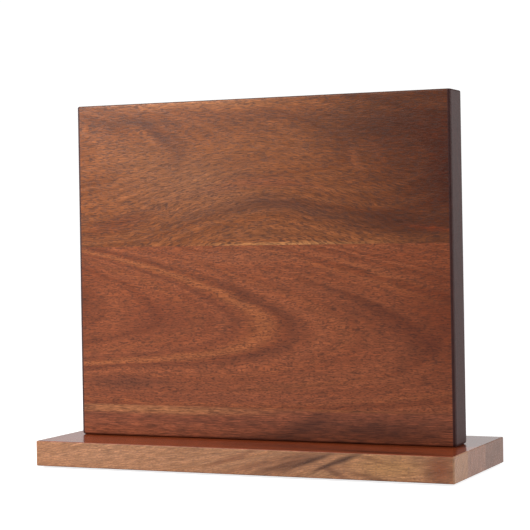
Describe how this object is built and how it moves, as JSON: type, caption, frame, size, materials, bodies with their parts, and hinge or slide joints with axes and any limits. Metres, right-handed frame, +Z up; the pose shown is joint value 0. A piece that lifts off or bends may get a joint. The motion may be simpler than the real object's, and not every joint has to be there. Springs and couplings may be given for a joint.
{
  "type": "magnetic knife block",
  "caption": "Upright wooden magnetic knife board with staved front and back panels, fixed to a flat rectangular wooden base on rubber feet.",
  "frame": {"origin": "centre of the footprint, on the surface that the feet stand on", "axes": "+X along the length of the board and base, +Y from the front face to the back face, +Z up"},
  "size_m": [0.332, 0.12, 0.2765],
  "materials": {
    "acacia_front_upper": "clear lacquer over sanded acacia",
    "acacia_front_middle": "clear lacquer over sanded acacia",
    "acacia_front_lower": "clear lacquer over sanded acacia",
    "acacia_back": "clear lacquer over sanded acacia",
    "acacia_base_front": "clear lacquer over sanded acacia",
    "acacia_base_middle": "clear lacquer over sanded acacia",
    "acacia_base_rear": "clear lacquer over sanded acacia",
    "nickel_magnet": "nickel-plated sintered magnet",
    "zinc_steel": "zinc-plated cold-rolled bar",
    "beech_dowel": "bare fluted beech",
    "brass_insert": "turned",
    "steel_screw": "zinc-plated",
    "foot_rubber": "moulded, matt"
  },
  "bodies": {
    "root": {"front_upper_stave": "acacia_front_upper", "front_middle_stave": "acacia_front_middle", "front_lower_stave": "acacia_front_lower", "back_upper_stave": "acacia_back", "back_middle_stave": "acacia_back", "back_lower_stave": "acacia_back", "base_front_stave": "acacia_base_front", "base_middle_stave": "acacia_base_middle", "base_rear_stave": "acacia_base_rear", "front_upper_magnets": "nickel_magnet", "front_lower_magnets": "nickel_magnet", "back_upper_magnets": "nickel_magnet", "back_lower_magnets": "nickel_magnet", "upper_keeper_strip": "zinc_steel", "lower_keeper_strip": "zinc_steel", "locating_dowels": "beech_dowel", "threaded_inserts": "brass_insert", "base_screws": "steel_screw", "front_left_foot": "foot_rubber", "front_right_foot": "foot_rubber", "rear_left_foot": "foot_rubber", "rear_right_foot": "foot_rubber"}
  },
  "joints": []
}
